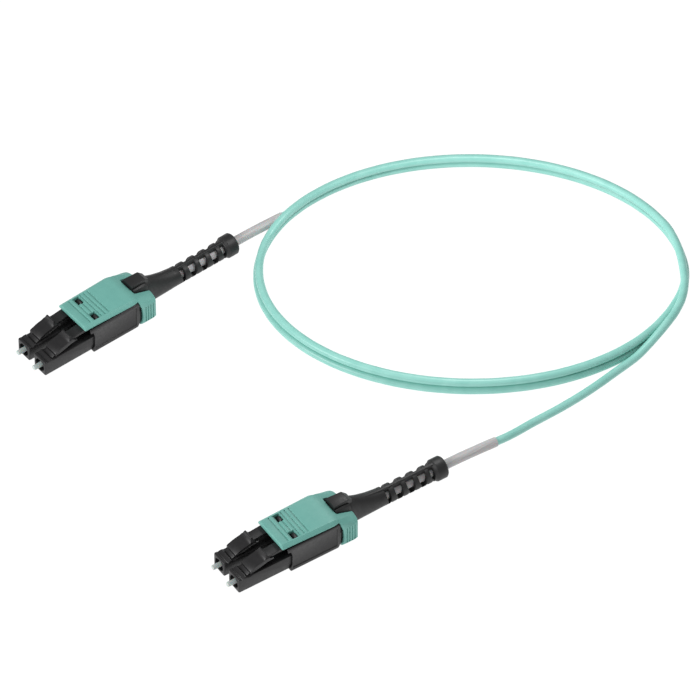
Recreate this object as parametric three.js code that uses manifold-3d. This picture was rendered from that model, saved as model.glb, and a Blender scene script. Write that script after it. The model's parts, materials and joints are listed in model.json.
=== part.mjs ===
// Duplex LC push-pull patch cord: two identical connectors joined by one round fibre cord.
// Millimetres, +Z up. Each connector is drawn in its own frame: +X runs from the ferrule
// tips towards the cord, +Y is its left side seen from above, and Z = 0 is the underside
// of its housing. Connector A lies along the part's own +X.
import * as THREE from 'three';
import { ConvexGeometry } from 'three/addons/geometries/ConvexGeometry.js';
import { mergeVertices } from 'three/addons/utils/BufferGeometryUtils.js';
import Module from 'manifold-3d';

const wasm = await Module();
wasm.setup();

// ---------- driving dimensions ----------
const PITCH = 6.25;              // between the two ferrule axes, the LC duplex standard
const AXIS_Z = 2.9;              // ferrule and cord axis above the housing's underside
const FERRULE = { tip: -0.3, rear: 6.9, r: 0.625, chamfer: 0.15 };

const PLUG = { front: 1.5, rear: 20.2, half: 2.2, corner: 0.3, seatFront: 4.6, seatDepth: 0.25 };
const BORE = { frontR: 1.6, webFront: 7.0, webR: 1.0, webRear: 7.8, rearR: 1.75 };
const SPRING = { front: 9.15, rear: 13.7, innerR: 0.85, outerR: 1.25 };
const FLANGE = { noseR: 0.93, tailR: 0.72, collarR: 1.5, socketR: 0.705 };
const PUSH = { front: 13.9, step: 15.6, rear: 22, headR: 1.55, bodyR: 1.25, boreR: 0.62 };
const BUFFER = { front: 13.2, rear: 33.4, r: 0.4, meetY: 0.46 };

const LATCH = { wedgeHalf: 1.9, armHalf: 1.35, bumpHalf: 0.75 };

const HOUSING = { front: 15.2, panelRear: 29.4, rear: 33.2, half: 5.75, top: 7.75, tailHalf: 5.2,
  tailTop: 5.3, floor: 0.6, wall: 0.33 };
const LID = { half: 4.75, bottom: 5.45, top: 7.6, rear: 29.2, tongueHalf: 3.4, tongueTop: 5.95 };
const COVER = { front: 13.7, under: 7.95, top: 9.0, bend: 28.4, rear: 34.4, rearTop: 6.75,
  frontHalf: 5.2, rearHalf: 5.65, sideFront: 30.2, sideHalf: 6.1, openFront: 30.0, openHalf: 3.0 };
const GROOVES = { count: 6, first: 16.0, pitch: 1.1, half: 4.3, width: 0.45, depth: 0.2 };
const WINDOW = { front: 17.35, rear: 18.65, half: 1.05 };
const GRIPS = { count: 4, first: 31.0, pitch: 0.72, width: 0.3, depth: 0.18 };

const CRIMP = { front: 30.1, noseR: 1.2, rear: 38, postFront: 31.2, postR: 1.4, boreR: 1.0 };
const RING = { front: 34, rear: 37.6, innerR: 1.5, outerR: 1.8 };
const BOOT = { headFront: 30.3, headHalf: 2.7, padHalf: 1.6, padTop: 9.45, padRear: 34.6,
  neckFront: 36.6, neckR: 2.5, reliefFront: 43.6, reliefR: 2.33, collarFront: 58.9, collarR: 2.79,
  rear: 61.9, spineFront: 41, spineTop: 5.5, spineHalf: 0.45, cavityR: 1.95, cavityRear: 40, boreR: 1.4 };
const SLOTS = { count: 5, first: 45.5, pitch: 3.12, length: 1.6, webHalf: 0.75, bottom: 3.2 };
const NOTCHES = { first: 44.1, length: 1.0, webHalf: 0.5, top: 2.3 };
const SLEEVE = { front: 40.4, rear: 76.8, r: 1.2 };

const CORD_R = 1.0;
// The cord's loop lies flat beside the connectors as an oval of turns stacked on each other.
const LAYOUT_TURN = THREE.MathUtils.degToRad(-38.58);  // the oval's long axis, from +X
const LOOP_CENTRE = [101.1, -42.4];                    // from connector A's ferrule tips
const LOOP_OUTER = [53.0, 40.6];
const LOOP_INNER = [49.2, 35.4];
const LOOP_SHIFT = 0.9;                                // of the outer wall along the long axis
const LOOP_HEIGHT = 6.3;

// The cord's two short leads, from each sleeve's end to the loop.
const LEAD_A = [[77.1, 0, 2.15], [78.3, 0, 2.0], [79.5, 0, 1.9]];
const LEAD_B = [[70.6, -88.95, 2.1], [75, -89.2, 1.6], [82, -89.3, 1.2], [90, -89.1, 1.05],
  [96, -88.9, 1.0], [101.4, -88.8, 1.0]];

const B_ORIGIN = [-6.16, -82.5];                       // connector B's frame, in A's
const B_TURN = THREE.MathUtils.degToRad(-4.82);
const A_ORIGIN = [-27.57, 42.66];                      // puts the connectors' centre at the origin

// ---------- materials ----------
const material = (color, roughness, metalness = 0) =>
  new THREE.MeshStandardMaterial({ color, roughness, metalness });
const AQUA = material(0x6fb5aa, 0.45);
const BLACK = material(0x2e2e30, 0.5);
const RUBBER = material(0x28282a, 0.65);
const ZIRCONIA = material(0xc9d6d2, 0.2);
const STEEL = material(0xb4b6b8, 0.3, 1);
const BRASS = material(0xb9a268, 0.35, 1);
const WHITE = material(0xdcdad8, 0.5);
const JACKET = material(0x90c8c0, 0.45);

// ---------- geometry helpers ----------
function bare(geometry) {
  const copy = geometry.index ? geometry.toNonIndexed() : geometry.clone();
  copy.deleteAttribute('normal');
  copy.deleteAttribute('uv');
  return mergeVertices(copy, 1e-4);
}

function solid(geometry) {
  const merged = bare(geometry);
  return new wasm.Manifold(new wasm.Mesh({
    numProp: 3,
    vertProperties: new Float32Array(merged.attributes.position.array),
    triVerts: new Uint32Array(merged.index.array),
  }));
}

function surface(manifold) {
  const mesh = manifold.getMesh();
  const geometry = new THREE.BufferGeometry();
  geometry.setAttribute('position', new THREE.BufferAttribute(mesh.vertProperties, 3));
  geometry.setIndex(new THREE.BufferAttribute(mesh.triVerts, 1));
  return geometry;
}

const minus = (body, ...cuts) => surface(
  cuts.reduce((rest, cut) => rest.subtract(solid(cut)), solid(body)));

const joined = (body, ...pieces) => surface(
  pieces.reduce((rest, piece) => rest.add(solid(piece)), solid(body)));

const mirrored = (make) => [-1, 1].map(make);
const repeated = (count, first, pitch, make) => Array.from({ length: count },
  (_, i) => make(first + i * pitch));

const outline = (points) => new THREE.Shape(points.map(([u, v]) => new THREE.Vector2(u, v)));

function extrude(points, depth) {
  return new THREE.ExtrudeGeometry(outline(points), { depth, bevelEnabled: false });
}

function box(x0, x1, y0, y1, z0, z1) {
  return new THREE.BoxGeometry(x1 - x0, y1 - y0, z1 - z0)
    .translate((x0 + x1) / 2, (y0 + y1) / 2, (z0 + z1) / 2);
}

// A (y, z) section carried along X.
function alongX(section, x0, x1) {
  const turn = new THREE.Matrix4().makeBasis(
    new THREE.Vector3(0, 1, 0), new THREE.Vector3(0, 0, 1), new THREE.Vector3(1, 0, 0));
  return extrude(section, x1 - x0).applyMatrix4(turn).translate(x0, 0, 0);
}

// An (x, z) profile carried across Y.
function acrossY(profile, y0, y1) {
  return extrude(profile, y1 - y0).rotateX(Math.PI / 2).translate(0, y1, 0);
}

// An (x, r) profile turned about a line along X at height AXIS_Z.
function turned(profile, y = 0, segments = 20) {
  const points = profile.map(([x, r]) => new THREE.Vector2(r, x));
  return bare(new THREE.LatheGeometry(points, segments))
    .rotateZ(-Math.PI / 2).translate(0, y, AXIS_Z);
}

const rod = (x0, x1, r, y = 0, segments = 20) =>
  turned([[x0, 0], [x0, r], [x1, r], [x1, 0]], y, segments);

const pipe = (x0, x1, inner, outer, y = 0, segments = 20) =>
  turned([[x0, inner], [x0, outer], [x1, outer], [x1, inner], [x0, inner]], y, segments);

// A box on one side of the middle plane, from y = near to y = far.
function sideBox(side, x0, x1, near, far, z0, z1) {
  const [y0, y1] = side > 0 ? [near, far] : [-far, -near];
  return box(x0, x1, y0, y1, z0, z1);
}

const both = (points) => points.flatMap(([y, z]) => [[y, z], [-y, z]]);

function hull(sections) {
  return new ConvexGeometry(sections.flatMap(([x, section]) =>
    section.map(([y, z]) => new THREE.Vector3(x, y, z))));
}

function ringSection(radius, sides = 12) {
  return Array.from({ length: sides }, (_, i) => {
    const angle = (i + 0.5) * 2 * Math.PI / sides;
    return [radius * Math.cos(angle), AXIS_Z + radius * Math.sin(angle)];
  });
}

function cornered(halfY, z0, z1, corner) {
  return [
    [-halfY + corner, z0], [halfY - corner, z0], [halfY, z0 + corner], [halfY, z1 - corner],
    [halfY - corner, z1], [-halfY + corner, z1], [-halfY, z1 - corner], [-halfY, z0 + corner],
  ];
}

function tube(points, radius, steps, sides = 8) {
  const curve = new THREE.CatmullRomCurve3(points.map((p) => new THREE.Vector3(...p)));
  const ring = Array.from({ length: sides }, (_, i) => {
    const angle = (i + 0.5) * 2 * Math.PI / sides;
    return [radius * Math.cos(angle), radius * Math.sin(angle)];
  });
  return new THREE.ExtrudeGeometry(outline(ring), { steps, extrudePath: curve, bevelEnabled: false });
}

// ---------- one optical channel ----------
function plugBody(y) {
  const { front, rear, half, corner, seatFront, seatDepth } = PLUG;
  const top = AXIS_Z + half;
  const shell = alongX(cornered(half, AXIS_Z - half, top, corner), front, rear);
  const bore = turned([
    [front - 1, 0], [front - 1, BORE.frontR], [BORE.webFront, BORE.frontR],
    [BORE.webFront, BORE.webR], [BORE.webRear, BORE.webR], [BORE.webRear, BORE.rearR],
    [rear + 1, BORE.rearR], [rear + 1, 0],
  ], 0, 24);
  const latchSeat = box(seatFront, rear + 1, -half - 1, half + 1, top - seatDepth, top + 1);
  return minus(shell, bore, latchSeat).translate(0, y, 0);
}

function ferrule(y) {
  const { tip, rear, r, chamfer } = FERRULE;
  return turned([[tip, 0], [tip, r - chamfer], [tip + chamfer, r], [rear, r], [rear, 0]], y, 16);
}

// A sleeve round the ferrule's root, a collar that the spring pushes on, and a thin tail.
function ferruleFlange(y) {
  const { noseR, tailR, collarR, socketR } = FLANGE;
  return turned([
    [7.0, 0], [7.0, socketR], [5.6, socketR], [5.6, noseR], [8.0, noseR], [8.0, collarR],
    [9.0, collarR], [9.0, tailR], [12.0, tailR], [12.0, 0],
  ], y);
}

const ferruleSpring = (y) => pipe(SPRING.front, SPRING.rear, SPRING.innerR, SPRING.outerR, y, 16);

function springPush(y) {
  const { front, step, rear, headR, bodyR, boreR } = PUSH;
  return turned([
    [front, boreR], [front, headR], [step, headR], [step, bodyR], [rear, bodyR], [rear, boreR],
    [front, boreR],
  ], y);
}

function bufferTube(y) {
  const { front, rear, r, meetY } = BUFFER;
  const meet = Math.sign(y) * meetY;
  const route = [
    [front, y, AXIS_Z], [18, y, AXIS_Z], [22.6, y, AXIS_Z], [26, (y + meet) / 2, AXIS_Z],
    [29.2, meet, AXIS_Z], [31, meet, AXIS_Z], [rear, meet, AXIS_Z],
  ];
  return tube(route, r, 16);
}

// The latch lever: a wedge with side lugs, a raised ear, an arm, and a bump at its tail.
function latch(y) {
  const wedge = acrossY([
    [4.9, 5.0], [5.7, 5.0], [9.6, 6.45], [11.2, 6.75], [10.9, 7.15], [10.3, 7.5], [10.05, 8.1],
    [9.7, 8.1], [9.3, 7.45], [8.7, 7.05], [6.4, 6.4], [4.9, 5.8],
  ], -LATCH.wedgeHalf, LATCH.wedgeHalf);
  const arm = acrossY([
    [9.0, 6.4], [10.4, 6.7], [19, 7.0], [19, 7.75], [13.6, 7.7], [10.2, 7.3], [9.0, 7.2],
  ], -LATCH.armHalf, LATCH.armHalf);
  const bump = acrossY([
    [17.4, 7.5], [18.6, 7.5], [18.6, 8.6], [18.3, 8.65], [17.6, 7.95],
  ], -LATCH.bumpHalf, LATCH.bumpHalf);
  return joined(wedge, arm, bump).translate(0, y, 0);
}

// ---------- housing ----------
function housingBase() {
  const { front, panelRear, rear, half, top, tailHalf, tailTop, floor, wall } = HOUSING;
  const block = acrossY([
    [front + 0.4, 0], [panelRear - 0.5, 0], [panelRear, 0.95], [rear, 0.95], [rear, tailTop],
    [panelRear, tailTop], [panelRear, top - 0.3], [panelRear - 0.4, top], [front - 0.4, top],
  ], -half, half);
  const plugBay = box(front - 2, PLUG.rear + 0.3, -half + wall, half - wall, floor, top + 1);
  const cavity = box(PLUG.rear, rear - 1.8, -4.4, 4.4, 1.6, top + 1);
  const lidSeat = box(PLUG.rear, rear + 1, -LID.half - 0.15, LID.half + 0.15, tailTop, top + 1);
  const cordHole = rod(rear - 2.2, rear + 1, CRIMP.postR + 0.15);
  const tailSides = mirrored((side) => sideBox(side, panelRear, rear + 1, tailHalf, half + 1, -1, 9));
  const shell = minus(block, plugBay, cavity, lidSeat, cordHole, ...tailSides);
  const rib = box(front + 0.3, PLUG.rear + 1, -0.8, 0.8, floor - 0.3, 5.0);
  return joined(shell, rib);
}

function housingLid() {
  const { half, bottom, top, rear, tongueHalf, tongueTop } = LID;
  const deck = box(PLUG.rear + 0.5, rear, -half, half, bottom, top);
  const tongue = box(rear - 1, HOUSING.rear, -tongueHalf, tongueHalf, bottom, tongueTop);
  return joined(deck, tongue);
}

function crimpBody() {
  const { front, noseR, rear, postFront, postR, boreR } = CRIMP;
  return turned([
    [front, boreR], [front, noseR], [postFront, noseR], [postFront, postR], [rear, postR],
    [rear, boreR], [front, boreR],
  ]);
}

const crimpRing = () => pipe(RING.front, RING.rear, RING.innerR, RING.outerR);

// ---------- slider: cover and boot ----------
// The cover's plate: level in front, then sloping down to the rear, with bevelled long edges.
function coverPlate() {
  const { front, under, top, bend, frontHalf, rearHalf } = COVER;
  const rear = 31;
  const plate = acrossY([
    [front, under], [rear, under], [rear, 8.03], [bend, top], [front + 0.3, top], [front, top - 0.25],
  ], -8, 8);
  const bevels = alongX([
    [-8, 0], [8, 0], [8, 6], [rearHalf, under], [rearHalf, 8.35], [4.75, 9.2], [-4.75, 9.2],
    [-rearHalf, 8.35], [-rearHalf, under], [-8, 6],
  ], 0, 60);
  const plan = extrude([
    [front - 1, -frontHalf], [rear + 1, -rearHalf], [rear + 1, rearHalf], [front - 1, frontHalf],
  ], 20);
  return solid(plate).intersect(solid(bevels)).intersect(solid(plan));
}

// The cover's rear block, which wraps round the housing's tail: sides, a sloping top, an open end.
function coverBlock() {
  const { under, rear, rearTop, sideFront, sideHalf } = COVER;
  const front = 29.5;
  const block = hull([
    [front, both([[5.6, 0.15], [sideHalf, 0.75], [sideHalf, 5.9], [5.65, 7.6], [4.75, 8.55]])],
    [rear - 0.5, both([[5.4, 0.15], [sideHalf, 0.75], [sideHalf, 6.0], [3.9, rearTop + 0.18]])],
    [rear, both([[3.7, 0.5], [3.7, rearTop]])],
  ]);
  const sideEdge = acrossY([
    [front - 9, -1], [29.7, -1], [29.7, 0.9], [sideFront, 1.6], [sideFront, 5.3], [front, under],
    [front - 9, under],
  ], -8, 8);
  const hollow = hull([
    [front - 9, both([[5.35, 0.85], [5.35, 5.6], [4.6, 7.3]])],
    [rear + 1, both([[5.35, 0.85], [5.35, 5.4], [3.3, rearTop - 0.65]])],
  ]);
  return solid(block).subtract(solid(sideEdge)).subtract(solid(hollow));
}

function slideCover() {
  const { top, rear, sideHalf, openFront, openHalf } = COVER;
  const opening = box(openFront, rear + 1, -openHalf, openHalf, 5, 12);
  const windows = mirrored((side) => box(WINDOW.front, WINDOW.rear,
    side * PITCH / 2 - WINDOW.half, side * PITCH / 2 + WINDOW.half, 5, 12));
  const grooves = repeated(GROOVES.count, GROOVES.first, GROOVES.pitch, (x) => box(
    x - GROOVES.width / 2, x + GROOVES.width / 2, -GROOVES.half, GROOVES.half,
    top - GROOVES.depth, top + 1));
  const grips = mirrored((side) => repeated(GRIPS.count, GRIPS.first, GRIPS.pitch, (x) => sideBox(
    side, x - GRIPS.width / 2, x + GRIPS.width / 2, sideHalf - GRIPS.depth, sideHalf + 1, 0.8, 5.6)));
  return minus(surface(coverPlate().add(coverBlock())), opening, ...windows, ...grooves, ...grips.flat());
}

// The boot's head fills the cover's opening; behind it the neck turns from a high arch to a round.
function boot() {
  const { headFront, headHalf, padHalf, padTop, padRear, neckFront, neckR, reliefFront, reliefR,
    collarFront, collarR, rear, spineFront, spineTop, spineHalf, cavityR, cavityRear, boreR } = BOOT;
  const arch = both([[headHalf, 6.55], [headHalf, 7.9], [1.9, 8.75]]);
  const shoulder = [...both([[2.9, 4.2], [2.7, 6.6], [2.0, 8.3], [1.2, 8.5]]), ...ringSection(2.75)];
  const waist = [...both([[1.1, 7.55], [1.7, 6.7]]), ...ringSection(neckR)];
  const middle = [...both([[0.9, 6.25]]), ...ringSection(neckR - 0.05)];
  const end = [...both([[0.5, 5.4]]), ...ringSection(reliefR)];
  const padEnd = both([[0.9, 7], [0.9, 7.7]]);
  const whole = [
    hull([[headFront, arch], [padRear, both([[headHalf, 6.55], [headHalf, 7.3], [1.9, 8.6]])]]),
    box(headFront, padRear, -padHalf, padHalf, 8, padTop),
    hull([[padRear, shoulder], [neckFront, waist]]),
    hull([[padRear - 0.1, both([[padHalf, 7], [padHalf, padTop]])], [neckFront - 0.4, padEnd]]),
    hull([[neckFront - 0.1, waist], [39, middle]]),
    hull([[38.9, middle], [reliefFront, end]]),
    rod(reliefFront - 0.1, collarFront + 0.1, reliefR, 0, 24),
    rod(collarFront, rear, collarR, 0, 24),
    box(spineFront, collarFront + 0.5, -spineHalf, spineHalf, AXIS_Z + 1.6, spineTop),
  ];
  const bore = turned([
    [headFront - 1, 0], [headFront - 1, cavityR], [cavityRear, cavityR], [cavityRear + 1, boreR],
    [rear + 1, boreR], [rear + 1, 0],
  ]);
  const slots = mirrored((side) => repeated(SLOTS.count, SLOTS.first, SLOTS.pitch, (x) => sideBox(
    side, x - SLOTS.length / 2, x + SLOTS.length / 2, SLOTS.webHalf, 4, SLOTS.bottom, 9)));
  const notches = mirrored((side) => repeated(SLOTS.count, NOTCHES.first, SLOTS.pitch, (x) => sideBox(
    side, x - NOTCHES.length / 2, x + NOTCHES.length / 2, NOTCHES.webHalf, 4, -2, NOTCHES.top)));
  return minus(joined(...whole), bore, ...slots.flat(), ...notches.flat());
}

function cableSleeve() {
  const route = [
    [SLEEVE.front, 0, AXIS_Z], [52, 0, AXIS_Z], [62, 0, AXIS_Z], [70, 0, AXIS_Z - 0.2],
    [SLEEVE.rear, 0, AXIS_Z - 0.7],
  ];
  return tube(route, SLEEVE.r, 14, 10);
}

// ---------- assembly ----------
function named(name, geometry, look) {
  const mesh = new THREE.Mesh(geometry, look);
  mesh.name = name;
  return mesh;
}

function connector(letter) {
  const group = new THREE.Group();
  const add = (name, geometry, look) => group.add(named(`${letter}_${name}`, geometry, look));
  for (const [side, y] of [['left', PITCH / 2], ['right', -PITCH / 2]]) {
    add(`plug_body_${side}`, plugBody(y), BLACK);
    add(`latch_${side}`, latch(y), BLACK);
    add(`ferrule_${side}`, ferrule(y), ZIRCONIA);
    add(`ferrule_flange_${side}`, ferruleFlange(y), STEEL);
    add(`ferrule_spring_${side}`, ferruleSpring(y), STEEL);
    add(`spring_push_${side}`, springPush(y), BLACK);
    add(`buffer_tube_${side}`, bufferTube(y), WHITE);
  }
  add('housing_base', housingBase(), BLACK);
  add('housing_lid', housingLid(), BLACK);
  add('crimp_body', crimpBody(), BRASS);
  add('crimp_ring', crimpRing(), STEEL);
  add('slide_cover', slideCover(), AQUA);
  add('boot', boot(), RUBBER);
  add('cable_sleeve', cableSleeve(), WHITE);
  return group;
}

function cordLoop() {
  const [a, b] = LOOP_OUTER;
  const [c, d] = LOOP_INNER;
  const ring = new THREE.Shape().absellipse(LOOP_SHIFT, 0, a, b, 0, 2 * Math.PI);
  ring.holes.push(new THREE.Path().absellipse(0, 0, c, d, 0, 2 * Math.PI));
  const coil = new THREE.ExtrudeGeometry(ring, {
    depth: LOOP_HEIGHT, bevelEnabled: false, curveSegments: 24,
  });
  coil.rotateZ(LAYOUT_TURN).translate(LOOP_CENTRE[0], LOOP_CENTRE[1], 0);
  const passage = box(66, 79.8, -1.9, 1.9, -1, 4.4);
  return minus(coil, passage);
}

const cord = new THREE.Group();
cord.add(named('cord_loop', cordLoop(), JACKET));
cord.add(named('cord_lead_a', tube(LEAD_A, CORD_R, 2), JACKET));
cord.add(named('cord_lead_b', tube(LEAD_B, CORD_R, 8), JACKET));

const connectorA = connector('a');
const connectorB = connector('b');
connectorB.position.set(B_ORIGIN[0], B_ORIGIN[1], 0);
connectorB.rotation.z = B_TURN;

const patchCord = new THREE.Group();
patchCord.add(connectorA, connectorB, cord);
patchCord.position.set(A_ORIGIN[0], A_ORIGIN[1], 0);

export default patchCord;
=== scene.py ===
import json
import math

import bmesh
import bpy
from mathutils import Matrix, Vector


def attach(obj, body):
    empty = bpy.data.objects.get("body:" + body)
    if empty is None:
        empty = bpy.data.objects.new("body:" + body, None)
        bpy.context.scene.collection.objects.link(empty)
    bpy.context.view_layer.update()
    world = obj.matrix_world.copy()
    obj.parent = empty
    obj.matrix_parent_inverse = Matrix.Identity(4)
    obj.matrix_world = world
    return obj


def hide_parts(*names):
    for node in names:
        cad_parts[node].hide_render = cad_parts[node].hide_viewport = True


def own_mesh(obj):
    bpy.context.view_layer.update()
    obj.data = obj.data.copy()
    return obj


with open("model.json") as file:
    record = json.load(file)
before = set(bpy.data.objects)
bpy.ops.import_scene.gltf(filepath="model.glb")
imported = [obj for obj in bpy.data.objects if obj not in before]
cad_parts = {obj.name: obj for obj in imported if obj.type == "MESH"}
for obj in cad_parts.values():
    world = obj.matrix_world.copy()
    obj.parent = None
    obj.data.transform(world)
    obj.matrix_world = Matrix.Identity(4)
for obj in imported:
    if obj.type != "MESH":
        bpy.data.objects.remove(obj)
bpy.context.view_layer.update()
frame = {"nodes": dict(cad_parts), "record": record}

# Lengths are in millimetres up to the last step of each piece, which turns them into metres.
MM = 0.001

# ---------- where things are, as in the CAD model ----------
PITCH = 6.25
AXIS_Z = 2.9
A_ORIGIN = Vector((-27.57, 42.66, 0))
B_ORIGIN = A_ORIGIN + Vector((-6.16, -82.5, 0))
B_TURN = math.radians(-4.82)
LAYOUT_TURN = math.radians(-38.58)
PLACES = {
    "a": Matrix.Translation(A_ORIGIN * MM),
    "b": Matrix.Translation(B_ORIGIN * MM) @ Matrix.Rotation(B_TURN, 4, "Z"),
}
SIDES = {"left": PITCH / 2, "right": -PITCH / 2}


# ---------- camera ----------
def add_camera():
    """A long lens that looks down on both connectors and the loop."""
    azimuth, elevation, distance = LAYOUT_TURN, math.radians(46.63), 1.965
    target = Vector((0.03592, -0.00029, 0))
    data = bpy.data.cameras.new("camera")
    data.lens = 426.5
    data.sensor_width = 36
    data.clip_end = 10
    camera = bpy.data.objects.new("camera", data)
    bpy.context.scene.collection.objects.link(camera)
    back = Vector((math.sin(azimuth) * math.cos(elevation),
                   -math.cos(azimuth) * math.cos(elevation), math.sin(elevation)))
    camera.location = target + back * distance
    camera.rotation_euler = (-back).to_track_quat("-Z", "Y").to_euler()
    bpy.context.scene.camera = camera


# ---------- materials ----------
class Look:
    """A node material built round one Principled shader."""

    def __init__(self, name, color, roughness, metallic=0.0):
        self.material = bpy.data.materials.new(name)
        self.material.use_nodes = True
        self.tree = self.material.node_tree
        self.shader = self.tree.nodes["Principled BSDF"]
        self.shader.inputs["Base Color"].default_value = (*color, 1)
        self.shader.inputs["Roughness"].default_value = roughness
        self.shader.inputs["Metallic"].default_value = metallic
        self.coordinates = self.tree.nodes.new("ShaderNodeTexCoord").outputs["Object"]

    def node(self, kind, **inputs):
        made = self.tree.nodes.new(kind)
        for key, value in inputs.items():
            made.inputs[key.replace("_", " ")].default_value = value
        return made

    def link(self, output, target):
        self.tree.links.new(output, target)

    def noise(self, grain, detail=2.0, stretch=(1, 1, 1)):
        """Noise whose patches are about `grain` millimetres across, longer where stretch is small."""
        mapping = self.node("ShaderNodeMapping", Scale=stretch)
        self.link(self.coordinates, mapping.inputs["Vector"])
        noise = self.node("ShaderNodeTexNoise", Scale=1 / (grain * MM), Detail=detail)
        self.link(mapping.outputs["Vector"], noise.inputs["Vector"])
        return noise.outputs["Fac"]

    def spread(self, source, low, high):
        """The source's middle range, carried to low..high."""
        ranged = self.node("ShaderNodeMapRange")
        for index, value in enumerate((0.3, 0.7, low, high), start=1):
            ranged.inputs[index].default_value = value
        self.link(source, ranged.inputs["Value"])
        return ranged.outputs["Result"]

    def tint(self, source, dark, light):
        """Base colour between two colours, by the source."""
        mix = self.tree.nodes.new("ShaderNodeMix")
        mix.data_type = "RGBA"
        mix.inputs["A"].default_value = (*dark, 1)
        mix.inputs["B"].default_value = (*light, 1)
        self.link(source, mix.inputs["Factor"])
        self.link(mix.outputs["Result"], self.shader.inputs["Base Color"])

    def roughen(self, source, low, high):
        self.link(self.spread(source, low, high), self.shader.inputs["Roughness"])

    def bump(self, source, height, strength=1.0):
        """Raises the surface by up to `height` millimetres."""
        bump = self.node("ShaderNodeBump", Strength=strength, Distance=height * MM)
        self.link(source, bump.inputs["Height"])
        self.link(bump.outputs["Normal"], self.shader.inputs["Normal"])


def moulded(name, dark, light, roughness, grain=0.12, height=0.006):
    """Injection moulded plastic: a fine eroded grain, faint flow marks, slightly uneven gloss."""
    look = Look(name, light, roughness)
    look.tint(look.spread(look.noise(2.5, 3), 0, 1), dark, light)
    look.roughen(look.noise(0.8, 4), roughness - 0.06, roughness + 0.06)
    look.bump(look.noise(grain, 3), height)
    return look.material


def jacket(name):
    """Extruded cord jacket: smooth, with faint lengthwise and round-about unevenness."""
    look = Look(name, (0.28, 0.62, 0.55), 0.42)
    look.tint(look.spread(look.noise(3.0, 2), 0, 1), (0.25, 0.59, 0.52), (0.30, 0.64, 0.57))
    look.roughen(look.noise(0.6, 3), 0.36, 0.5)
    look.bump(look.noise(0.25, 2), 0.004)
    look.shader.inputs["Coat Weight"].default_value = 0.15
    look.shader.inputs["Coat Roughness"].default_value = 0.3
    return look.material


def sleeve_look(name):
    """Off-white tubing with lengthwise drawing marks."""
    look = Look(name, (0.5, 0.48, 0.49), 0.5)
    streaks = look.noise(0.35, 3, stretch=(0.06, 1, 1))
    look.tint(look.spread(streaks, 0, 1), (0.42, 0.41, 0.42), (0.56, 0.55, 0.55))
    look.roughen(look.noise(0.7, 2), 0.42, 0.58)
    look.bump(streaks, 0.01)
    look.shader.inputs["Subsurface Weight"].default_value = 0.15
    look.shader.inputs["Subsurface Scale"].default_value = 0.5 * MM
    return look.material


def ceramic(name):
    """Polished zirconia."""
    look = Look(name, (0.50, 0.56, 0.54), 0.16)
    look.tint(look.spread(look.noise(0.9, 2), 0, 1), (0.46, 0.53, 0.51), (0.54, 0.6, 0.58))
    look.roughen(look.noise(0.2, 3), 0.12, 0.2)
    look.bump(look.noise(0.05, 2), 0.0008)
    look.shader.inputs["Subsurface Weight"].default_value = 0.2
    look.shader.inputs["Subsurface Scale"].default_value = 0.3 * MM
    return look.material


def metal(name, dark, light, roughness, stretch=(1, 1, 1)):
    """Turned or drawn metal with fine machining marks."""
    look = Look(name, light, roughness, metallic=1.0)
    marks = look.noise(0.12, 4, stretch=stretch)
    look.tint(look.spread(marks, 0, 1), dark, light)
    look.roughen(look.noise(0.5, 3), roughness - 0.06, roughness + 0.08)
    look.bump(marks, 0.002)
    return look.material


LOOKS = {
    "aqua_plastic": moulded("aqua_plastic", (0.155, 0.43, 0.375), (0.175, 0.46, 0.40), 0.5),
    "black_plastic": moulded("black_plastic", (0.0085, 0.008, 0.009), (0.0125, 0.012, 0.013), 0.44),
    "black_boot": moulded("black_boot", (0.009, 0.009, 0.0095), (0.014, 0.014, 0.0145), 0.5, 0.2, 0.008),
    "aqua_jacket": jacket("aqua_jacket"),
    "sleeve_white": sleeve_look("sleeve_white"),
    "buffer_white": moulded("buffer_white", (0.70, 0.68, 0.62), (0.80, 0.78, 0.72), 0.4),
    "zirconia": ceramic("zirconia"),
    "nickel_steel": metal("nickel_steel", (0.50, 0.50, 0.48), (0.66, 0.66, 0.64), 0.22, (0.05, 1, 1)),
    "spring_steel": metal("spring_steel", (0.38, 0.38, 0.39), (0.56, 0.56, 0.57), 0.3),
    "brass": metal("brass", (0.50, 0.38, 0.16), (0.66, 0.53, 0.26), 0.28, (0.05, 1, 1)),
    "crimp_metal": metal("crimp_metal", (0.42, 0.42, 0.44), (0.62, 0.62, 0.64), 0.34),
}


# ---------- mesh helpers, in millimetres ----------
def mesh_from(vertices, faces):
    mesh = bpy.data.meshes.new("shape")
    mesh.from_pydata(vertices, [], faces)
    clean = bmesh.new()
    clean.from_mesh(mesh)
    bmesh.ops.remove_doubles(clean, verts=clean.verts, dist=1e-4)
    bmesh.ops.recalc_face_normals(clean, faces=clean.faces)
    clean.to_mesh(mesh)
    clean.free()
    return mesh


def loft(sections):
    """Skins closed sections, each (x, [(y, z), ...]) with the same number of points."""
    count = len(sections[0][1])
    vertices = [(x, y, z) for x, outline in sections for y, z in outline]
    faces = [list(range(count))[::-1],
             list(range((len(sections) - 1) * count, len(sections) * count))]
    for step in range(len(sections) - 1):
        for i in range(count):
            j = (i + 1) % count
            a, b = step * count, (step + 1) * count
            faces.append([a + i, a + j, b + j, b + i])
    return mesh_from(vertices, faces)


def along_x(section, x0, x1):
    return loft([(x0, section), (x1, section)])


def across_y(profile, y0, y1):
    """An (x, z) profile carried across Y."""
    count = len(profile)
    vertices = [(x, y, z) for y in (y0, y1) for x, z in profile]
    faces = [list(range(count)), list(range(count, 2 * count))]
    faces += [[i, (i + 1) % count, count + (i + 1) % count, count + i] for i in range(count)]
    return mesh_from(vertices, faces)


def box(x0, x1, y0, y1, z0, z1):
    return along_x([(y0, z0), (y1, z0), (y1, z1), (y0, z1)], x0, x1)


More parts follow.
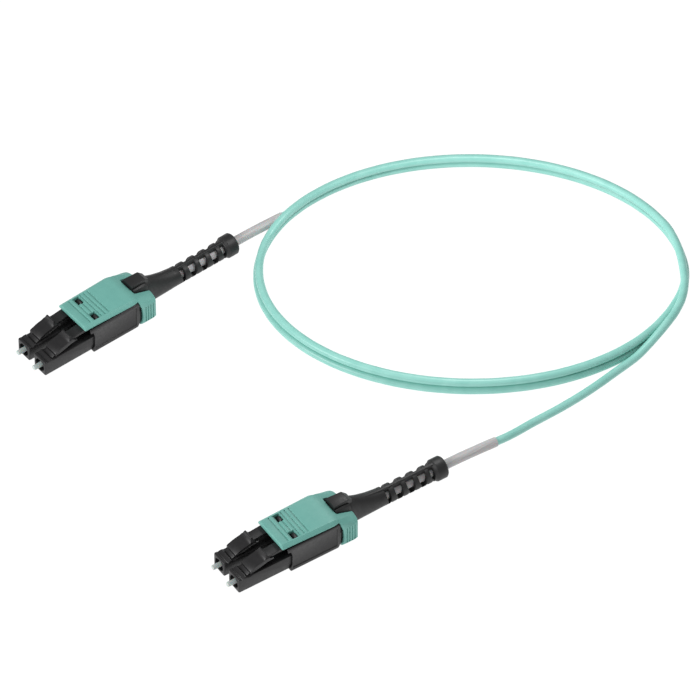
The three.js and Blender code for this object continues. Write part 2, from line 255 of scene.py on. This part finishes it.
def lathe(profile, y=0.0, z=AXIS_Z, segments=48):
    """Turns an (x, r) profile about a line along X; it closes on the line or on itself."""
    vertices, faces = [], []
    for x, r in profile:
        for i in range(segments):
            angle = 2 * math.pi * i / segments
            vertices.append((x, y + r * math.cos(angle), z + r * math.sin(angle)))
    for row in range(len(profile) - 1):
        for i in range(segments):
            j = (i + 1) % segments
            a, b = row * segments, (row + 1) * segments
            faces.append([a + i, a + j, b + j, b + i])
    mesh = mesh_from(vertices, faces)
    dissolve = bmesh.new()
    dissolve.from_mesh(mesh)
    flat = [face for face in dissolve.faces if face.calc_area() < 1e-9]
    bmesh.ops.delete(dissolve, geom=flat, context="FACES_ONLY")
    bmesh.ops.recalc_face_normals(dissolve, faces=dissolve.faces)
    dissolve.to_mesh(mesh)
    dissolve.free()
    return mesh


def modified(mesh, *modifiers):
    """The mesh after these modifiers, each a (type, settings) pair."""
    thing = bpy.data.objects.new("work", mesh)
    bpy.context.scene.collection.objects.link(thing)
    for kind, settings in modifiers:
        modifier = thing.modifiers.new(kind, kind)
        for key, value in settings.items():
            setattr(modifier, key, value)
    bpy.context.view_layer.update()
    result = bpy.data.meshes.new_from_object(
        thing.evaluated_get(bpy.context.evaluated_depsgraph_get()))
    bpy.data.objects.remove(thing)
    return result


def rounded(mesh, width, segments=3, angle=30):
    return modified(mesh, ("BEVEL", {"width": width, "segments": segments,
                                     "angle_limit": math.radians(angle)}))


def combined(operation, mesh, others):
    cutters = []
    for other in others:
        cutter = bpy.data.objects.new("cutter", other)
        bpy.context.scene.collection.objects.link(cutter)
        cutters.append(cutter)
    settings = [("BOOLEAN", {"operation": operation, "solver": "EXACT", "object": cutter})
                for cutter in cutters]
    result = modified(mesh, *settings)
    for cutter in cutters:
        bpy.data.objects.remove(cutter)
    return result


def joined(mesh, *others):
    return combined("UNION", mesh, others)


def cut(mesh, *others):
    return combined("DIFFERENCE", mesh, others)


def both_sides(half):
    """A closed outline from its right half, listed from the bottom up."""
    return half + [(-y, z) for y, z in reversed(half)]


def repeated(count, first, pitch):
    return [first + i * pitch for i in range(count)]


def shade(mesh, angle):
    for polygon in mesh.polygons:
        polygon.use_smooth = True
    mesh.set_sharp_from_angle(angle=math.radians(angle))


def piece(name, mesh, place, slot, body, *nodes, angle=32):
    """Makes a finished piece from a mesh in millimetres, in a connector's own frame."""
    data = mesh.copy()
    data.transform(Matrix.Scale(MM, 4))
    data.materials.clear()
    data.materials.append(LOOKS[slot])
    shade(data, angle)
    thing = bpy.data.objects.new(name, data)
    thing.matrix_world = place
    bpy.context.scene.collection.objects.link(thing)
    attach(thing, body)
    if nodes:
        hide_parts(*nodes)
    return thing


# ---------- the cord ----------
CORD_D = 2.0
LOOP_CENTRE = A_ORIGIN + Vector((100.88, -42.52, 0))
LOOP_HALVES = (51.0, 37.6)
FULLER, FULLER_AT, FULLER_WIDTH = 0.22, -150, 32      # the oval bulges a little at one angle
LEAN = 0.945               # sideways shift of a lifted strand, for each millimetre it is lifted

# The lowest turn's sideways place (outward) and height, by the angle round the oval.
LOW_TURN = [(145, 0.0, 1.5), (137, 0.0, 1.1), (125, 0.2, 1.0), (110, 0.8, 1.0), (90, 1.3, 1.0),
            (70, 1.4, 1.0), (50, 1.1, 1.0), (30, 0.5, 1.0), (12, 0.1, 1.0), (0, 0.0, 1.0),
            (-190, 0.0, 1.0)]
# How far the second turn is lifted, where it passes over the cord's entry and the first turn.
LIFT = [(165, 0.0), (156, 1.5), (150, 2.45), (145, 2.1), (140, 1.75), (130, 1.55), (110, 1.05),
        (90, 0.68), (70, 0.6), (50, 0.9), (30, 1.5), (12, 1.94), (0, 2.05)]
STACK = (-0.44, 2.1)       # a turn's place on the one below it: outward, up


def between(rows, angle):
    """Linear interpolation in rows whose first column falls."""
    if angle >= rows[0][0]:
        return rows[0][1:]
    for first, second in zip(rows, rows[1:]):
        if angle >= second[0]:
            share = (first[0] - angle) / (first[0] - second[0])
            return [a + (b - a) * share for a, b in zip(first[1:], second[1:])]
    return rows[-1][1:]


def on_oval(angle, outward, height, lean=0.0):
    """A point by its angle round the oval, its distance outward, and its height."""
    a, b = LOOP_HALVES
    t = math.radians(angle)
    normal = Vector((b * math.cos(t), a * math.sin(t), 0)).normalized()
    away = (angle - FULLER_AT + 180) % 360 - 180
    outward += FULLER * math.exp(-(away / FULLER_WIDTH) ** 2)
    flat = Vector((a * math.cos(t), b * math.sin(t), 0)) + normal * outward - Vector((0, lean, 0))
    return LOOP_CENTRE + Matrix.Rotation(LAYOUT_TURN, 3, "Z") @ flat + Vector((0, 0, height))


def turn_point(angle):
    """The cord's point at an angle that falls from 145 through two turns to 15 degrees."""
    if angle >= -190:
        outward, height = between(LOW_TURN, angle)
        return on_oval(angle, outward, height)
    if angle >= -360:
        lift, = between(LIFT, angle + 360)
        return on_oval(angle, 0, 1 + lift, LEAN * lift)
    if angle >= -384:
        share = (-360 - angle) / 24
        return on_oval(angle, STACK[0] * share, 3.05 + 0.05 * share, LEAN * 2.05 * (1 - share) ** 2)
    if angle >= -555:
        return on_oval(angle, STACK[0], 1 + STACK[1])
    lift, = between(LIFT, angle + 720)
    return on_oval(angle, STACK[0], 1 + lift + STACK[1], LEAN * lift)


# Straight out of a boot's end and down, in a connector's frame.
BOOT_END = 61.9
OUT_OF_BOOT = [(BOOT_END, 0, AXIS_Z), (66, 0, 2.86), (70, 0, 2.7), (73.5, 0, 2.47)]
# From connector A's boot to the loop, in that connector's frame.
ENTRY = OUT_OF_BOOT + [(77, 0, 2.2), (79.6, 0.12, 1.85)]
# Down outside the other turns and away, from the oval's centre along its long and short axes.
LEAVING = [(50.55, -2.6, 5.1), (50.3, -9.3, 4.7), (48.52, -14.5, 4.22), (46.12, -18.6, 3.84),
           (43.71, -21.8, 3.14), (41.36, -24.4, 2.14), (39.0, -26.85, 1.34), (36.54, -29.1, 1.02),
           (34.22, -31.3, 1.0), (29.95, -35.4, 1.0), (26.4, -38.6, 1.0), (20.45, -43.4, 1.0),
           (14.05, -48.2, 1.2), (8.4, -53.0, 1.85)]
# Into connector B's boot, in that connector's frame.
ENDING = [(76.8, 0, 2.2)] + OUT_OF_BOOT[::-1]


def cord_points():
    points = [A_ORIGIN + Vector(point) for point in ENTRY]
    points += [turn_point(145 - 9 * step) for step in range(0, 95)]
    points += [LOOP_CENTRE + Matrix.Rotation(LAYOUT_TURN, 3, "Z") @ Vector(point) for point in LEAVING]
    points += [B_ORIGIN + Matrix.Rotation(B_TURN, 3, "Z") @ Vector(point) for point in ENDING]
    return points


def curve_piece(name, points, radius, slot, body, resolution=6):
    """A round tube along a smooth open line through points in the row frame."""
    data = bpy.data.curves.new(name, "CURVE")
    data.dimensions = "3D"
    data.resolution_u = resolution
    data.bevel_depth = radius * MM
    data.bevel_resolution = 8
    data.use_fill_caps = True
    spline = data.splines.new("BEZIER")
    spline.bezier_points.add(len(points) - 1)
    for bezier, point in zip(spline.bezier_points, points):
        bezier.co = point * MM
        bezier.handle_left_type = bezier.handle_right_type = "AUTO"
    data.materials.append(LOOKS[slot])
    thing = bpy.data.objects.new(name, data)
    bpy.context.scene.collection.objects.link(thing)
    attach(thing, body)
    return thing


def line_length(thing):
    """The length in metres of a curve object's own line."""
    bare = thing.copy()
    bare.data = thing.data.copy()
    bare.data.bevel_depth = 0
    bpy.context.scene.collection.objects.link(bare)
    bpy.context.view_layer.update()
    line = bpy.data.meshes.new_from_object(bare.evaluated_get(bpy.context.evaluated_depsgraph_get()))
    length = sum((line.vertices[a].co - line.vertices[b].co).length
                 for a, b in (edge.vertices for edge in line.edges))
    bpy.data.objects.remove(bare)
    return length


# ---------- one optical channel ----------
def plug_shell(y):
    """The square plug body with soft edges, a dip behind its front and the round hole."""
    front, rear, half, top = 1.5, 20.2, 2.2, AXIS_Z + 2.2
    low = AXIS_Z - 2.15
    shell = along_x([(-half, low), (half, low), (half, top), (-half, top)], front, rear)
    dip = across_y([(2.0, top + 0.4), (2.15, top - 0.05), (2.45, top - 0.34), (2.75, top - 0.38),
                    (3.35, top - 0.02), (3.5, top + 0.4)], -3, 3)
    valley = across_y([(3.55, top + 0.4), (3.65, top - 0.02), (4.1, top - 0.45), (4.9, top - 0.5),
                       (5.6, top - 0.25), (5.7, top + 0.4)], -3, 3)
    seat = box(4.6, rear + 1, -3, 3, top - 0.25, top + 1)
    shell = rounded(cut(rounded(shell, 0.36, 4), dip, valley, seat), 0.05, 2)
    bore = lathe([(front - 1, 0), (front - 1, 1.78), (front, 1.74), (front + 0.16, 1.6), (7.0, 1.6),
                  (7.0, 1.0), (7.8, 1.0), (7.8, 1.75), (rear + 1, 1.75), (rear + 1, 0)])
    shell = cut(shell, bore)
    shell.transform(Matrix.Translation((0, y, 0)))
    return shell


def latch_lever(y):
    """Two sloping faces, a thin raised ear, side lugs, and the arm that runs under the cover."""
    half = 1.9
    wedge = across_y([
        (4.9, 5.0), (5.7, 5.0), (9.6, 6.35), (11.4, 6.5), (11.4, 6.7), (10.75, 6.85), (10.15, 7.5),
        (9.9, 8.25), (9.75, 8.42), (9.48, 8.4), (9.38, 8.2), (9.28, 7.7), (9.0, 7.36), (8.5, 7.12),
        (6.75, 6.68), (5.05, 5.95), (4.9, 5.75),
    ], -half, half)
    trim = [across_y([(10.7, 6.66), (12, 6.66), (12, 9), (10.7, 9)], -3, 3)]
    for side in (-1, 1):
        shoulder = [(1.4, 9), (1.4, 8.4), (1.7, 7.6), (2.2, 7.05), (2.2, 9)]
        trim.append(along_x([(side * y, z) for y, z in shoulder], 8.7, 12))
    arm = across_y([(9.0, 6.4), (10.4, 6.7), (19, 7.0), (19, 7.75), (13.6, 7.72), (10.2, 7.3), (9.0, 7.2)],
                   -1.35, 1.35)
    bump = across_y([(17.4, 7.5), (18.6, 7.5), (18.6, 8.6), (18.3, 8.65), (17.6, 7.95)], -0.75, 0.75)
    root = across_y([(4.0, 4.6), (5.3, 4.55), (5.3, 5.5), (4.7, 5.0)], -1.5, 1.5)
    whole = joined(cut(wedge, *trim), rounded(arm, 0.1, 2), bump, root)
    whole = rounded(whole, 0.06, 2)
    whole.transform(Matrix.Translation((0, y, 0)))
    return whole


def ferrule_rod(y):
    tip, rear, r = -0.3, 6.9, 0.625
    nose = [(tip + 0.18 * (1 - math.cos(t)), r - 0.18 + 0.18 * math.sin(t))
            for t in [math.radians(15 * step) for step in range(7)]]
    return lathe([(tip, 0), (tip, 0.064), (tip + 0.004, 0.07), (tip, 0.076)] + nose
                 + [(rear, r), (rear, 0)], y, segments=40)


def coil_spring(y):
    """A helix with flattened end turns, as a closed tube."""
    front, rear, coil_r, wire_r, turns = 9.2, 13.65, 1.05, 0.17, 7
    ring, steps = 10, 24
    vertices, faces = [], []
    total = turns * steps
    for step in range(total + 1):
        angle = 2 * math.pi * step / steps
        share = step / total
        lead = min(max((share - 0.1) / 0.8, 0), 1)
        x = front + wire_r + (rear - front - 2 * wire_r) * (0.12 * share + 0.88 * lead)
        radial = Vector((0, math.cos(angle), math.sin(angle)))
        centre = Vector((x, y, AXIS_Z)) + radial * coil_r
        for i in range(ring):
            turn = 2 * math.pi * i / ring
            vertices.append(tuple(centre + wire_r * (radial * math.cos(turn)
                                                     + Vector((1, 0, 0)) * math.sin(turn))))
    for step in range(total):
        for i in range(ring):
            j = (i + 1) % ring
            a, b = step * ring, (step + 1) * ring
            faces.append([a + i, a + j, b + j, b + i])
    faces += [list(range(ring)), list(range(total * ring, (total + 1) * ring))]
    return mesh_from(vertices, faces)


# ---------- housing ----------
HOUSING_FRONT, PANEL_REAR, HOUSING_REAR = 15.2, 29.4, 33.2
HOUSING_HALF, HOUSING_TOP = 5.75, 7.75
HOUSING_WALL, PANEL_DEPTH = 0.33, 0.16


def housing_hollows():
    """Cutters for the plugs' bay, the cavity, the lid's seat, the cord's hole and the front."""
    front, rear, half, top = HOUSING_FRONT, HOUSING_REAR, HOUSING_HALF, HOUSING_TOP
    bay = box(front - 2, 20.5, -half + HOUSING_WALL, half - HOUSING_WALL, 0.6, top + 1)
    cavity = box(20.2, rear - 1.8, -4.4, 4.4, 1.6, top + 1)
    seat = box(20.2, rear + 1, -4.9, 4.9, 5.3, top + 1)
    hole = lathe([(rear - 2.2, 0), (rear - 2.2, 1.55), (rear + 1, 1.55), (rear + 1, 0)])
    front_recess = across_y([(front - 2, 1.2), (front + 0.35, 1.2), (front + 0.8, 2.0), (front + 0.85, 5.2),
                             (front + 0.45, 6.6), (front - 2, 6.6)], -half - 1, half + 1)
    return [bay, cavity, seat, hole, front_recess]


def housing_side_cuts():
    """Cutters that narrow the tail and sink each side panel's field."""
    cuts = []
    for side in (-1, 1):
        y0, y1 = sorted((side * 5.2, side * (HOUSING_HALF + 1)))
        cuts.append(box(PANEL_REAR + 0.12, HOUSING_REAR + 1, y0, y1, -1, 9))
        y0, y1 = sorted((side * (HOUSING_HALF - PANEL_DEPTH), side * (HOUSING_HALF + 1)))
        field = box(HOUSING_FRONT + 1.0, PANEL_REAR - 0.9, y0, y1, 1.0, HOUSING_TOP - 1.0)
        cuts.append(rounded(field, 0.12, 2))
    return cuts


def housing_shell():
    """The duplex housing: a tub round both plugs, with raised side panels."""
    front, panel_rear, rear, half, top = HOUSING_FRONT, PANEL_REAR, HOUSING_REAR, HOUSING_HALF, HOUSING_TOP
    block = across_y([
        (front + 0.4, 0), (panel_rear - 0.5, 0), (panel_rear, 0.95), (rear, 0.95), (rear, 5.3),
        (panel_rear, 5.3), (panel_rear + 0.1, 6.9), (panel_rear - 0.35, top), (front - 0.4, top),
    ], -half, half)
    block = rounded(block, 0.22, 3)
    rib = box(front + 0.3, 21.2, -0.8, 0.8, 0.3, 5.0)
    return rounded(joined(cut(block, *housing_hollows(), *housing_side_cuts()), rib), 0.05, 2)


# ---------- slider ----------
GRIP_PITCH, GROOVE_PITCH, WINDOW_HALF = 0.72, 1.1, 1.22


def cover_plate():
    """The cover's level top, which slopes down at the rear."""
    def section(x, half, side_top, ridge_y, top, low=7.95):
        return (x, both_sides([(half, low), (half, side_top), (ridge_y, top), (ridge_y - 1, top)]))

    return loft([section(13.7, 5.12, 8.2, 4.4, 8.8), section(13.95, 5.2, 8.3, 4.45, 9.0),
                 section(27.7, 5.58, 8.3, 4.82, 9.0), section(28.4, 5.5, 8.2, 4.75, 8.95),
                 section(29.4, 5.25, 8.0, 4.75, 8.58), section(31.0, 4.9, 7.6, 4.5, 8.0, 7.4)])


def cover_block():
    """The hollow rear block, with its side walls' front edges shaped."""
    def section(x, low, side, shoulder, ridge_y, ridge_z):
        return (x, both_sides([(side - 0.7, low), (side, low + 0.6), (side, 3.2), (side, 5.9),
                               (shoulder[0], shoulder[1]), (ridge_y, ridge_z), (ridge_y - 1, ridge_z)]))

    block = loft([
        section(29.3, 0.15, 6.0, (5.75, 7.45), 4.85, 8.6), section(31.0, 0.15, 6.1, (5.7, 7.1), 4.6, 8.02),
        section(33.2, 0.15, 6.1, (5.5, 6.75), 4.1, 7.2), section(34.0, 0.3, 6.0, (5.3, 6.5), 3.85, 6.9),
        section(34.4, 0.6, 5.3, (4.9, 6.35), 3.6, 6.75),
    ])
    side_edge = across_y([(20, -1), (29.7, -1), (29.7, 0.9), (30.2, 1.7), (30.25, 3.4), (30.1, 5.3),
                          (29.35, 7.7), (29.2, 7.95), (20, 7.95)], -8, 8)
    hollow = loft([
        (20, both_sides([(5.35, 0.85), (5.35, 5.6), (4.6, 7.3)])),
        (35.4, both_sides([(5.35, 0.85), (5.35, 5.4), (3.3, 6.1)])),
    ])
    return cut(block, side_edge, hollow)


def cover_cuts():
    """Cutters for the boot's opening, the latch windows, the grooves and the grip channels."""
    opening = rounded(across_y([(30.0, 5), (36, 5), (36, 12), (30.0, 12)], -2.95, 2.95), 0.35, 4)
    cuts = [opening]
    for y in SIDES.values():
        cuts.append(rounded(box(17.2, 18.85, y - WINDOW_HALF, y + WINDOW_HALF, 5, 12), 0.1, 2))
    for x in repeated(6, 16.0, GROOVE_PITCH):
        groove = [(x - 0.34, 9.3), (x - 0.28, 9.0), (x - 0.15, 8.76), (x + 0.15, 8.76),
                  (x + 0.28, 9.0), (x + 0.34, 9.3)]
        cuts.append(across_y(groove, -4.3, 4.3))
    for x in repeated(4, 31.0, GRIP_PITCH):
        for side in (-1, 1):
            channel = [(side * 5.9, 0.85), (side * 6.4, 0.85), (side * 6.4, 5.75), (side * 5.9, 5.75)]
            cuts.append(along_x(channel, x - 0.14, x + 0.14))
    return cuts


def cover_shell():
    """The aqua cover: level plate, sloping rear, side walls with grip ribs, an open end."""
    return rounded(cut(joined(cover_block(), cover_plate()), *cover_cuts()), 0.07, 2)


def neck_outline(width, low, high, points=40, squareness=1.0):
    """A round underside with an arch of another height on top."""
    outline = []
    for i in range(points):
        angle = 2 * math.pi * i / points
        height = high if math.sin(angle) > 0 else low
        bulge = squareness if math.sin(angle) > 0 else 1.0
        y = width * math.copysign(abs(math.cos(angle)) ** bulge, math.cos(angle))
        outline.append((y, AXIS_Z + height * math.copysign(abs(math.sin(angle)) ** bulge, math.sin(angle))))
    return outline


RELIEF_R, COLLAR_R = 2.33, 2.79
SLOTS, END_SLOTS = (45.5, 48.5, 51.8, 55.1, 57.8), (45.5, 57.8)


def boot_head():
    """The shoulders that fill the cover's opening."""
    return loft([
        (30.3, both_sides([(0.8, 6.5), (2.62, 6.55), (2.65, 8.0), (2.3, 8.55), (1.3, 8.9), (0.6, 8.95)])),
        (33.0, both_sides([(0.8, 5.8), (2.7, 5.9), (2.72, 7.2), (2.35, 8.3), (1.4, 8.95), (0.6, 9.0)])),
        (34.4, both_sides([(0.8, 4.5), (2.85, 4.6), (2.9, 6.4), (2.3, 7.9), (1.3, 8.7), (0.6, 8.8)])),
    ])


def boot_pad():
    """The raised pad on the head, narrower towards the neck."""
    return rounded(loft([
        (30.3, [(-1.75, 8), (1.75, 8), (1.75, 9.45), (-1.75, 9.45)]),
        (34.3, [(-1.55, 8), (1.55, 8), (1.55, 9.45), (-1.55, 9.45)]),
        (35.6, [(-1.2, 7), (1.2, 7), (1.2, 8.4), (-1.2, 8.4)]),
    ]), 0.12, 2)


def boot_neck():
    """An arch at the cover that turns into the round strain relief and its plain collar."""
    arched = [(33.6, 3.05, 2.55, 5.2, 0.8), (34.6, 3.0, 2.6, 5.3, 0.85), (35.6, 2.75, 2.55, 5.05, 0.9),
              (36.8, 2.52, 2.5, 4.6, 1.0), (38.4, 2.45, 2.48, 3.9, 1.0), (41.0, 2.4, 2.42, 3.0, 1.0),
              (43.6, RELIEF_R, RELIEF_R, 2.45, 1.0)]
    round_part = [(45.0, RELIEF_R), (58.6, RELIEF_R), (59.0, 2.62), (59.25, COLLAR_R),
                  (61.55, COLLAR_R), (BOOT_END, 2.5)]
    sections = [(x, neck_outline(width, low, high, squareness=squareness))
                for x, width, low, high, squareness in arched]
    return loft(sections + [(x, neck_outline(radius, radius, radius)) for x, radius in round_part])


def boot_spine():
    """The rounded ridge along the top of the strain relief."""
    return rounded(loft([
        (39.6, [(-0.5, 4.2), (0.5, 4.2), (0.42, 6.2), (-0.42, 6.2)]),
        (44.0, [(-0.5, 4.2), (0.5, 4.2), (0.38, 5.55), (-0.38, 5.55)]),
        (59.4, [(-0.5, 4.2), (0.5, 4.2), (0.38, 5.5), (-0.38, 5.5)]),
    ]), 0.14, 3)


def pad_grooves():
    """Cutters for the two lines along the pad."""
    return [loft([
        (29.8, [(side * y, z) for y, z in ((1.74, 8.35), (1.98, 8.35), (1.98, 10), (1.74, 10))]),
        (34.5, [(side * y, z) for y, z in ((1.54, 8.3), (1.78, 8.3), (1.78, 10), (1.54, 10))]),
    ]) for side in (-1, 1)]


def relief_windows():
    """Cutters for the tapered windows between the strain relief's ribs."""
    cuts = []
    for x in SLOTS:
        half = 0.6 if x in END_SLOTS else 1.12
        window = [(x - half, 9), (x + half, 9), (x + half, 3.9), (x + 0.3 * half, 1.55),
                  (x - 0.3 * half, 1.55), (x - half, 3.9)]
        for side in (-1, 1):
            y0, y1 = sorted((side * 0.42, side * 4))
            cuts.append(rounded(across_y(window, y0, y1), 0.12, 2))
    return cuts


def relief_scallops():
    """Cutters for the notches under the strain relief."""
    cuts = []
    for x in repeated(8, 46.2, 1.67):
        cuts.append(rounded(box(x - 0.35, x + 0.35, -4, 4, -2, 0.95), 0.12, 2))
        for side in (-1, 1):
            y0, y1 = sorted((side * 0.6, side * 4))
            cuts.append(rounded(box(x - 0.35, x + 0.35, y0, y1, -2, 2.15), 0.1, 2))
    return cuts


def boot_shell():
    """Pad and shoulders in the cover's opening, an arched neck, and the slotted strain relief."""
    whole = joined(boot_neck(), boot_head(), boot_pad(), boot_spine())
    bore = lathe([(29.5, 0), (29.5, 1.95), (40, 1.95), (41, 1.4), (62.5, 1.4), (62.5, 0)])
    return rounded(cut(whole, bore, *pad_grooves(), *relief_windows(), *relief_scallops()), 0.06, 2)


# ---------- assembly ----------
def cable_sleeve_points(place):
    """From inside the boot to the sleeve's end on the cord."""
    inside = [(40.4, 0, AXIS_Z), (52, 0, AXIS_Z)]
    return [place @ (Vector(point) * MM) / MM for point in inside + OUT_OF_BOOT + [(76.8, 0, 2.21)]]


def add_connector(letter, shapes):
    place = PLACES[letter]
    slider = f"{letter}_slider"
    for side, y in SIDES.items():
        piece(f"{letter}_plug_shell_{side}", shapes["plug", side], place, "black_plastic",
              "patch_cord", f"{letter}_plug_body_{side}")
        piece(f"{letter}_latch_lever_{side}", shapes["latch", side], place, "black_plastic",
              f"{letter}_latch_{side}", f"{letter}_latch_{side}")
        piece(f"{letter}_ferrule_rod_{side}", shapes["ferrule", side], place, "zirconia",
              f"{letter}_ferrule_{side}", f"{letter}_ferrule_{side}")
        spring = piece(f"{letter}_coil_spring_{side}", shapes["spring", side], place, "spring_steel",
                       "patch_cord", f"{letter}_ferrule_spring_{side}", angle=60)
        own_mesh(spring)
    piece(f"{letter}_housing_shell", shapes["housing"], place, "black_plastic", "patch_cord",
          f"{letter}_housing_base")
    piece(f"{letter}_cover_shell", shapes["cover"], place, "aqua_plastic", slider,
          f"{letter}_slide_cover")
    piece(f"{letter}_boot_shell", shapes["boot"], place, "black_boot", slider, f"{letter}_boot", angle=40)
    sleeve = curve_piece(f"{letter}_sleeve_tube", cable_sleeve_points(place), 1.2, "sleeve_white",
                         "patch_cord", 4)
    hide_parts(f"{letter}_cable_sleeve")
    return sleeve


def carried_over_looks():
    """Gives every CAD node its slot's material, the hidden inner pieces among them."""
    slots = {part["node"]: part["material_slot"] for part in frame["record"]["subparts"]}
    for name in frame["nodes"]:
        thing = bpy.data.objects[name]
        thing.data.materials.clear()
        thing.data.materials.append(LOOKS[slots[name]])


def add_floor():
    reach, drop = 2000, 0.02
    data = mesh_from([(-reach, -reach, 0), (reach, -reach, 0), (reach, reach, 0), (-reach, reach, 0)],
                     [[0, 1, 2, 3]])
    data.transform(Matrix.Translation((0, 0, -drop)))
    data.transform(Matrix.Scale(MM, 4))
    look = Look("studio_floor", (0.06, 0.06, 0.06), 0.9)
    look.shader.inputs["Emission Color"].default_value = (1, 1, 1, 1)
    look.shader.inputs["Emission Strength"].default_value = 1.0
    data.materials.append(look.material)
    floor = bpy.data.objects.new("studio_floor", data)
    bpy.context.scene.collection.objects.link(floor)


def add_light(name, location, size, power, target=(0.03, 0, 0)):
    data = bpy.data.lights.new(name, "AREA")
    data.shape = "DISK"
    data.size = size
    data.energy = power
    light = bpy.data.objects.new(name, data)
    light.location = location
    aim = Vector(target) - Vector(location)
    light.rotation_euler = aim.to_track_quat("-Z", "Y").to_euler()
    bpy.context.scene.collection.objects.link(light)


def add_studio():
    world = bpy.data.worlds.new("studio")
    bpy.context.scene.world = world
    world.use_nodes = True
    background = world.node_tree.nodes["Background"]
    background.inputs["Color"].default_value = (1, 1, 1, 1)
    background.inputs["Strength"].default_value = 0.39
    turn = Matrix.Rotation(LAYOUT_TURN, 3, "Z")
    loop = LOOP_CENTRE * MM
    add_light("loop_light", tuple(loop + Vector((0, 0, 0.12))), 0.04, 0.085, tuple(loop))
    add_light("front_light", tuple(turn @ Vector((-0.55, -0.35, 0.35))), 0.3, 3.5)
    bpy.context.scene.view_settings.view_transform = "Standard"


add_camera()
cord = curve_piece("cord_line", cord_points(), CORD_D / 2, "aqua_jacket", "patch_cord")
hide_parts("cord_loop", "cord_lead_a", "cord_lead_b")

SHAPES = {"housing": housing_shell(), "cover": cover_shell(), "boot": boot_shell()}
for side, y in SIDES.items():
    SHAPES["plug", side] = plug_shell(y)
    SHAPES["latch", side] = latch_lever(y)
    SHAPES["ferrule", side] = ferrule_rod(y)
    SHAPES["spring", side] = coil_spring(y)

carried_over_looks()
sleeves = [add_connector(letter, SHAPES) for letter in PLACES]
tuple(cord_points()[0] * MM)
round(line_length(cord), 3)
add_floor()
add_studio()
